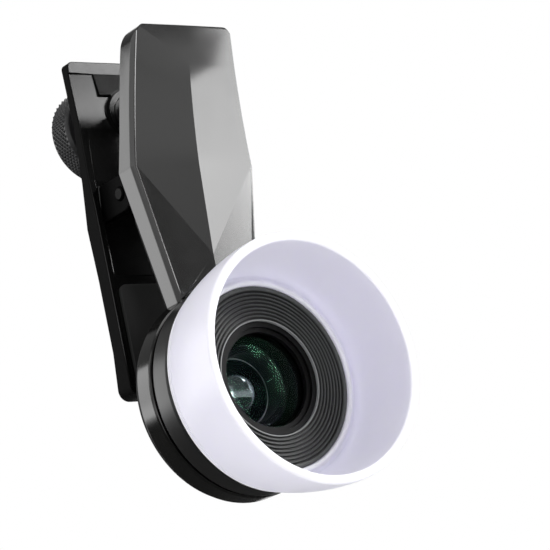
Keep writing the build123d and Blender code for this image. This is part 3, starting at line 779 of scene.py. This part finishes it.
# %% The diffuser hood
HOOD_BASE = 20.1
HOOD_RIM = 22.9
HOOD_LENGTH = 16.4
HOOD_BULGE = 0.7
HOOD_WALL = 1.7
COLLAR_LENGTH = 3.7
HOOD_FIT = 0.1             # play between the hood's collar and the spigot
COLLAR_INNER = SPIGOT_RADIUS + HOOD_FIT
COLLAR_WALL = 1.9
LIP_WALL = 0.95
LIP_TALL = 1.2
LIP_TAPER = 0.1            # the lip's foot is thicker by this
GROOVES = (0.55, 1.45)
GROOVE_WIDTH = 0.35
GROOVE_DEPTH = 0.3
GROOVE_SLOPE = 0.04        # a groove's wall leans by this
GROOVE_CLEAR = 0.4         # the flare's own points stay this far from a groove's middle
RIM_ROUND = 0.55
FLARE_STEPS = 24


def flare(share, base, rim):
    """Radius at a share of the way from the hood's back to its mouth."""
    return base + share * (rim - base) + 4 * HOOD_BULGE * share * (1 - share)


hood_front = SPIGOT_BACK + HOOD_LENGTH
outside = []
for i in range(FLARE_STEPS + 1):
    share = i / FLARE_STEPS
    depth = SPIGOT_BACK + share * HOOD_LENGTH
    if not any(abs(depth - SPIGOT_BACK - g - GROOVE_WIDTH / 2) < GROOVE_CLEAR for g in GROOVES):
        outside.append((flare(share, HOOD_BASE, HOOD_RIM), depth))
groove_section = (
    (0, 0), (GROOVE_SLOPE, GROOVE_DEPTH), (GROOVE_WIDTH - GROOVE_SLOPE, GROOVE_DEPTH), (GROOVE_WIDTH, 0),
)
for groove_back in GROOVES:
    for offset, fall in groove_section:
        share = (groove_back + offset) / HOOD_LENGTH
        outside.append((flare(share, HOOD_BASE, HOOD_RIM) - fall, SPIGOT_BACK + groove_back + offset))
outside.sort(key=lambda point: point[1])

collar_front = SPIGOT_BACK + COLLAR_LENGTH
inside = []
for i in range(FLARE_STEPS + 1):
    share = 1 - i / FLARE_STEPS
    radius = flare(share, COLLAR_INNER + COLLAR_WALL, HOOD_RIM - HOOD_WALL)
    inside.append((radius, collar_front - LIP_TALL + share * (hood_front - collar_front + LIP_TALL)))
hood_outline = outside + inside + [
    (COLLAR_INNER + LIP_WALL + LIP_TAPER, collar_front - LIP_TALL),
    (COLLAR_INNER + LIP_WALL, collar_front),
    (COLLAR_INNER, collar_front),
    (COLLAR_INNER, SPIGOT_BACK),
]
hood_outline = rounded(hood_outline, RIM_ROUND, steps=3)
place(
    "diffuser_hood_shell", turned_mesh("diffuser_hood_shell", hood_outline, HOOD_PLASTIC, steps=192),
    HOOD_PLASTIC, "hood", ["diffuser_hood"], crisp=50,
)

# %% [markdown]
# ## The knob and its diamond knurl
# The knob's rim is cut into small diamonds so that fingers grip it. Each diamond is a low
# four-sided pyramid. Modelling hundreds of them by hand would be slow, and a bump map would
# leave the rim's edge smooth, so a geometry tree lays points round the rim in staggered rows
# and stands one pyramid on each.

# %% The knob's body
KNOB_BACK = 24.2           # outer face, measured behind the pad's plane
KNOB_THICK = 5.8
KNOB_RADIUS = 9.4
KNOB_EDGE = 0.6
HUB_RADIUS = 4.4
HUB_OUT = 0.8
DISH_RADIUS = 6.6
DISH_DEPTH = 0.9
DISH_SLOPE = 0.3           # the dish's floor is narrower than its mouth by this
STUD_RADIUS = 2.5
STUD_END = 22.1
KNOB_ROUND = 0.2
KNURL_HEIGHT = 0.34
KNURL_SUNK = 0.05          # each diamond's foot lies this deep in the rim

near = KNOB_BACK - KNOB_THICK
rim_radius = KNOB_RADIUS - KNURL_HEIGHT
knob_outline = rounded([
    (STUD_RADIUS, -(near - HUB_OUT)),
    (HUB_RADIUS, -(near - HUB_OUT)),
    (HUB_RADIUS, -near),
    (rim_radius - KNOB_EDGE, -near),
    (rim_radius, -(near + KNOB_EDGE)),
    (rim_radius, -(KNOB_BACK - KNOB_EDGE)),
    (rim_radius - KNOB_EDGE, -KNOB_BACK),
    (DISH_RADIUS, -KNOB_BACK),
    (DISH_RADIUS - DISH_SLOPE, -(KNOB_BACK - DISH_DEPTH)),
    (0.0, -(KNOB_BACK - DISH_DEPTH)),
    (0.0, -STUD_END),
    (STUD_RADIUS, -STUD_END),
], KNOB_ROUND)
place(
    "knob_body", turned_mesh("knob_body", knob_outline, KNOB_ABS, steps=96, height=SCREW_HEIGHT),
    KNOB_ABS, "knob_turning", ["knob"],
)

# %% [markdown]
# ## The diamonds themselves
# The tree numbers its points, and from a point's number it works out the row and the angle.
# Each row starts half a column further round than the last, which makes a cross pattern.

# %% The diamond knurl
def knurl_tree():
    """Staggered rows of pyramids round an axis along Y."""
    tree, given, result = new_tree("diamond knurl", {
        "Columns": "Int", "Rows": "Int", "Rim radius": "Float", "Rim start": "Float",
        "Row step": "Float", "Diamond": "Vector", "Axis height": "Float", "Finish": "Material",
    })
    count = add(tree, "ShaderNodeMath", {0: given["Columns"], 1: given["Rows"]}, operation="MULTIPLY")
    points = add(tree, "GeometryNodePoints", {"Count": count.outputs["Value"]})
    index = add(tree, "GeometryNodeInputIndex").outputs["Index"]
    share = add(tree, "ShaderNodeMath", {0: index, 1: given["Columns"]}, operation="DIVIDE").outputs["Value"]
    row = add(tree, "ShaderNodeMath", {0: share}, operation="FLOOR").outputs["Value"]
    half = add(tree, "ShaderNodeMath", {0: row, 1: 0.5}, operation="MULTIPLY").outputs["Value"]
    stagger = add(tree, "ShaderNodeMath", {0: half, 1: given["Columns"]}, operation="DIVIDE")
    turns = add(tree, "ShaderNodeMath", {0: share, 1: stagger.outputs["Value"]}, operation="ADD")
    full = add(tree, "ShaderNodeMath", {0: turns.outputs["Value"], 1: 2 * pi}, operation="MULTIPLY")
    angle = full.outputs["Value"]
    across = add(tree, "ShaderNodeMath", {0: angle}, operation="COSINE").outputs["Value"]
    upward = add(tree, "ShaderNodeMath", {0: angle}, operation="SINE").outputs["Value"]
    outward = add(tree, "ShaderNodeCombineXYZ", {"X": across, "Z": upward}).outputs["Vector"]
    on_rim = add(tree, "ShaderNodeVectorMath", {
        0: outward, "Scale": given["Rim radius"],
    }, operation="SCALE")
    depth = add(tree, "ShaderNodeMath", {
        0: row, 1: given["Row step"], 2: given["Rim start"],
    }, operation="MULTIPLY_ADD")
    offset = add(tree, "ShaderNodeCombineXYZ", {"Y": depth.outputs["Value"], "Z": given["Axis height"]})
    spot = add(tree, "ShaderNodeVectorMath", {
        0: on_rim.outputs["Vector"], 1: offset.outputs["Vector"],
    }, operation="ADD")
    laid = add(tree, "GeometryNodeSetPosition", {
        "Geometry": points.outputs["Points"], "Position": spot.outputs["Vector"],
    })
    turn = add(tree, "FunctionNodeAxesToRotation", {
        "Primary Axis": outward, "Secondary Axis": (0, 1, 0),
    })
    pyramid = add(tree, "GeometryNodeMeshCone", {"Vertices": 4, "Radius Bottom": 1.0, "Depth": 1.0})
    stood = add(tree, "GeometryNodeInstanceOnPoints", {
        "Points": laid.outputs["Geometry"], "Instance": pyramid.outputs["Mesh"],
        "Rotation": turn.outputs["Rotation"], "Scale": given["Diamond"],
    })
    real = add(tree, "GeometryNodeRealizeInstances", {"Geometry": stood.outputs["Instances"]})
    dressed = add(tree, "GeometryNodeSetMaterial", {
        "Geometry": real.outputs["Geometry"], "Material": given["Finish"],
    })
    tree.links.new(dressed.outputs["Geometry"], result["Geometry"])
    return tree


KNURL_COLUMNS = 54
KNURL_ROWS = 9
rim_width = KNOB_THICK - 2 * KNOB_EDGE
row_step = rim_width / (KNURL_ROWS + 1)
column_pitch = 2 * pi * rim_radius / KNURL_COLUMNS
knurl = grown("knob_knurl", bpy.data.meshes.new("knurl seed"), knurl_tree(), {
    "Columns": KNURL_COLUMNS,
    "Rows": KNURL_ROWS,
    "Rim radius": (rim_radius - KNURL_SUNK) * MM,
    "Rim start": (near + KNOB_EDGE + row_step) * MM,
    "Row step": row_step * MM,
    "Diamond": (row_step * MM, column_pitch / 2 * MM, (KNURL_HEIGHT + KNURL_SUNK) * MM),
    "Axis height": SCREW_HEIGHT,
    "Finish": KNOB_ABS,
})
place("knob_knurl", knurl, KNOB_ABS, "knob_turning", [], crisp=10)

# %% [markdown]
# ## The spring
# A torsion spring sits on the hinge pin. One leg leaves the coil for each lever, and the coil
# winds up as the jaws open. It could be drawn as a curve with a round section, but the
# solid's own wire has the right shape, so its mesh is welded and used. The coil crosses the
# hinge, so the piece is hung on neither jaw, and its place is baked into its mesh.

spring = place(
    "wound_spring", softened("torsion_spring", width_mm=0.05, segments=1, limit=60), WIRE_STEEL,
    None, ["torsion_spring"], crisp=60,
)
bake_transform(spring)

# %% [markdown]
# ## Screw threads
# The lens screws into the clip, and the knob's stud screws through its nut. Both threads are
# one ridge that climbs a plain core. A geometry tree draws the climb as a spiral and sweeps a
# small square along it, standing on its corner, which is the shape of a common thread. The
# cores come from the lathe, a ridge's height thinner than the solids that they stand for, so
# the finished thread is as thick as the real one.

# %% Screw threads
THREAD_STEPS = 28


def thread_tree():
    """A ridge that climbs along Y round its own axis."""
    tree, given, result = new_tree("thread", {
        "Pitch": "Float", "Turns": "Float", "Core radius": "Float", "Ridge": "Float",
        "Start": "Vector", "Finish": "Material",
    })
    climb = add(tree, "ShaderNodeMath", {0: given["Pitch"], 1: given["Turns"]}, operation="MULTIPLY")
    spiral = add(tree, "GeometryNodeCurveSpiral", {
        "Resolution": THREAD_STEPS, "Rotations": given["Turns"], "Start Radius": given["Core radius"],
        "End Radius": given["Core radius"], "Height": climb.outputs["Value"],
    })
    upright = add(tree, "GeometryNodeSetCurveNormal", {"Curve": spiral.outputs["Curve"]}, mode="Z_UP")
    section = add(tree, "GeometryNodeCurvePrimitiveCircle", {
        "Resolution": 4, "Radius": given["Ridge"],
    })
    ridge = add(tree, "GeometryNodeCurveToMesh", {
        "Curve": upright.outputs["Curve"], "Profile Curve": section.outputs["Curve"], "Fill Caps": True,
    })
    laid = add(tree, "GeometryNodeTransform", {
        "Geometry": ridge.outputs["Mesh"], "Translation": given["Start"],
        "Rotation": (-pi / 2, 0, 0),
    })
    real = add(tree, "GeometryNodeRealizeInstances", {"Geometry": laid.outputs["Geometry"]})
    dressed = add(tree, "GeometryNodeSetMaterial", {
        "Geometry": real.outputs["Geometry"], "Material": given["Finish"],
    })
    tree.links.new(dressed.outputs["Geometry"], result["Geometry"])
    return tree


THREAD = thread_tree()


def thread_mesh(name, pitch, length, outer, start, finish, height=0.0):
    """A thread of an outer radius and a length, in mm, from a start along Y."""
    ridge = pitch / 2
    return grown(name, bpy.data.meshes.new(name + " seed"), THREAD, {
        "Pitch": pitch * MM, "Turns": length / pitch, "Core radius": (outer - ridge) * MM,
        "Ridge": ridge * MM, "Start": (0.0, start * MM, height), "Finish": finish,
    })


STUD_PITCH = 0.8
STUD_CORE = 2.12
STUD_OUTER = 2.48
STUD_TIP = 3.55
STUD_SHOULDER = 5.05
STUD_NECK = 1.5
STUD_ROUND = 0.1
STUD_LEAD = 0.6            # bare stud between its shoulder and the thread
STUD_BARE = 1.6            # bare stud at both ends together
stud_outline = rounded([
    (0.0, -STUD_TIP), (STUD_NECK, -STUD_TIP), (STUD_NECK, -STUD_SHOULDER),
    (STUD_CORE, -STUD_SHOULDER), (STUD_CORE, -STUD_END), (0.0, -STUD_END),
], STUD_ROUND)
place(
    "stud_core", turned_mesh("stud_core", stud_outline, SCREW_STEEL, steps=48, height=SCREW_HEIGHT),
    SCREW_STEEL, "knob_turning", ["clamp_stud"],
)
stud_thread = thread_mesh(
    "stud_thread", STUD_PITCH, STUD_END - STUD_SHOULDER - STUD_BARE, STUD_OUTER,
    STUD_SHOULDER + STUD_LEAD, SCREW_STEEL, SCREW_HEIGHT,
)
place("stud_thread", stud_thread, SCREW_STEEL, "knob_turning", [], crisp=40)

# %% [markdown]
# ## The lens's own thread
# The lens ends in a short stub with a fine thread. Its core and the flange in front of it
# are one turned piece, and the same tree as for the stud winds the thread on it.

# %% The lens's own thread
LENS_PITCH = 0.75
LENS_OUTER = 8.48
LENS_CORE = 8.12
STUB_BACK = 1.4
STUB_BORE = 7.0
THROAT = 6.2
ARM_DEPTH = 5.4
REAR_GLASS_FRONT = 4.6
MOUNT_ROUND = 0.08
LENS_LEAD = 0.45           # bare stub between the flange and the thread
LENS_BARE = 0.9            # bare stub at both ends together
mount_outline = rounded([
    (STUB_BORE, STUB_BACK), (LENS_CORE, STUB_BACK), (LENS_CORE, ARM_DEPTH),
    (MOUNT_RADIUS, ARM_DEPTH), (MOUNT_RADIUS, MOUNT_FRONT), (THROAT, MOUNT_FRONT),
    (THROAT, REAR_GLASS_FRONT), (STUB_BORE, REAR_GLASS_FRONT),
], MOUNT_ROUND)
place(
    "mount_turned", turned_mesh("mount_turned", mount_outline, CELL_ALUMINIUM, steps=96),
    CELL_ALUMINIUM, "lens", ["lens_mount"],
)
lens_thread = thread_mesh(
    "mount_thread", LENS_PITCH, ARM_DEPTH - STUB_BACK - LENS_BARE, LENS_OUTER,
    LENS_LEAD - ARM_DEPTH, CELL_ALUMINIUM,
)
place("mount_thread", lens_thread, CELL_ALUMINIUM, "lens", [], crisp=40)

# %% [markdown]
# ## Finishes of the solids that stay
# The small inner parts have the right shape as solids, so they stay. Each one is only given
# the finish of the real part, in place of the plain one that it was loaded with.

# %% Finishes of the solids that stay
KEPT = {
    "thread_insert": LENS_BRASS, "nut_insert": NUT_STEEL, "pivot_pin": PIN_STEEL,
    "spring_bushing": PLAIN_ABS, "screw_foot": PLAIN_ABS, "inner_cell": CELL_ALUMINIUM,
    "spacer_ring": CELL_ALUMINIUM, "front_retaining_ring": CELL_ALUMINIUM,
    "rear_retaining_ring": CELL_ALUMINIUM, "front_glass": FRONT_GLASS,
    "middle_glass": MIDDLE_GLASS, "rear_glass": REAR_GLASS,
}
for name, material in KEPT.items():
    slots = nodes[name].data.materials
    slots.clear()
    slots.append(material)
print("solids with a finish of their own:", len(KEPT))

# %% [markdown]
# ## Floor, backdrop and light
# The backdrop is white and the light is soft. What gives a glossy black object its shape is
# what it reflects, so the panels are placed by the direction that each surface mirrors
# towards the camera. The right panel makes the lever's pale facet, with two small ones
# beside it for the neck. The back panel makes the bright side of the lever and of the
# barrel. The high panel makes the grey patch on the rear arm, and with the inner catch light
# it makes the spots on the inmost glass. The front, left and top panels mostly light the
# hood. The floor is pale and glows for the camera alone, so the glow puts no light on the
# object. A mirrored ray finds it dark, as a dark cloth laid in front of the object would be.

# %% Floor, backdrop and light
FLOOR_DROP = 30 * MM       # below the camera, which looks slightly up
FLOOR_REACH = 1.5          # from the middle to each side, in metres
FLOOR_GLOW = 0.5           # seen by the camera alone
low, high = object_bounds()
middle = (Vector(low) + Vector(high)) / 2
floor_mesh = bpy.data.meshes.new("floor")
floor_z = camera.location.z - FLOOR_DROP
corners = ((-1, -1), (1, -1), (1, 1), (-1, 1))
floor_mesh.from_pydata([(x * FLOOR_REACH, y * FLOOR_REACH, floor_z) for x, y in corners], [], [(0, 1, 2, 3)])
floor = bpy.data.objects.new("floor", floor_mesh)
scene.collection.objects.link(floor)
pale_floor, floor_tree, floor_shader = new_material("pale floor", Roughness=0.9)
floor_path = add(floor_tree, "ShaderNodeLightPath").outputs
shades(floor_tree, floor_shader, floor_path["Is Glossy Ray"], "ececec", "2c2c2c")
floor_shader.inputs["Emission Color"].default_value = linear("ffffff")
glow = spread(floor_tree, floor_path["Is Camera Ray"], 0, FLOOR_GLOW)
floor_tree.links.new(glow, floor_shader.inputs["Emission Strength"])
floor_mesh.materials.append(pale_floor)
print("floor at", round(floor_z / MM, 1), "mm")

PANEL_DISTANCE = 0.6       # from the middle of the object, in metres


def panel(name, azimuth, elevation, width, height, radiance):
    """A soft lamp seen from the object in a direction, with a plain brightness."""
    lamp = bpy.data.lights.new(name, "AREA")
    lamp.shape = "RECTANGLE"
    lamp.size = width
    lamp.size_y = height
    lamp.energy = radiance * pi * width * height
    holder = bpy.data.objects.new(name, lamp)
    az, el = radians(azimuth), radians(elevation)
    towards = Vector((sin(az) * cos(el), -cos(az) * cos(el), sin(el)))
    holder.location = middle + towards * PANEL_DISTANCE
    holder.rotation_euler = towards.to_track_quat("Z", "Y").to_euler()
    scene.collection.objects.link(holder)


# azimuth and elevation in degrees, width and height in metres, and brightness
PANELS = {
    "right panel": (63, 10.5, 0.42, 0.2, 5.8),
    "neck panel": (46, 13, 0.09, 0.08, 2.5),
    "catch light": (50, 17, 0.05, 0.05, 44),
    "inner catch light": (-6, 0, 0.12, 0.12, 9),
    "high panel": (43, 27, 0.17, 0.1, 13),
    "front panel": (-18, -2, 0.5, 0.5, 0.6),
    "left panel": (-80, 28, 0.45, 0.45, 1.0),
    "top panel": (10, 78, 0.55, 0.55, 1.4),
    "back panel": (-140, 13, 0.42, 0.36, 2.3),
    "rim panel": (132, 31, 0.4, 0.3, 1.2),
}
for name, numbers in PANELS.items():
    panel(name, *numbers)
print("lamps:", len(PANELS))

# %% [markdown]
# ## The white world
# The world's brightness depends on the kind of ray that meets it. It is white for the
# camera, a plain grey for the light on the object, and for a mirrored ray or one that comes
# through glass it is white near the horizon and dim above.

# %% The white world
AMBIENT = 0.42
MIRROR_WHITE_BELOW = 0.07  # a mirrored ray that climbs less than this finds white
MIRROR_DIM_ABOVE = 0.18
MIRROR_DIM = 0.2
world = bpy.data.worlds.new("studio")
scene.world = world
world.use_nodes = True
sky = world.node_tree
path = add(sky, "ShaderNodeLightPath")
direction = add(sky, "ShaderNodeTexCoord").outputs["Generated"]
upward = add(sky, "ShaderNodeSeparateXYZ", {"Vector": direction}).outputs["Z"]
mirrored = add(sky, "ShaderNodeMapRange", {
    "Value": upward, "From Min": MIRROR_WHITE_BELOW, "From Max": MIRROR_DIM_ABOVE,
    "To Min": 1.0, "To Max": MIRROR_DIM,
}).outputs["Result"]
through = add(sky, "ShaderNodeMath", {
    0: path.outputs["Is Glossy Ray"], 1: path.outputs["Is Transmission Ray"],
}, operation="MAXIMUM").outputs["Value"]
lit = add(sky, "ShaderNodeMix", {"Factor": through, "A": AMBIENT, "B": mirrored}).outputs["Result"]
level = add(sky, "ShaderNodeMix", {"Factor": path.outputs["Is Camera Ray"], "A": lit, "B": 1.0})
sky.links.new(level.outputs["Result"], sky.nodes["Background"].inputs["Strength"])
sky.nodes["Background"].inputs["Color"].default_value = (1, 1, 1, 1)
scene.view_settings.view_transform = "Standard"
print("ambient light:", AMBIENT)
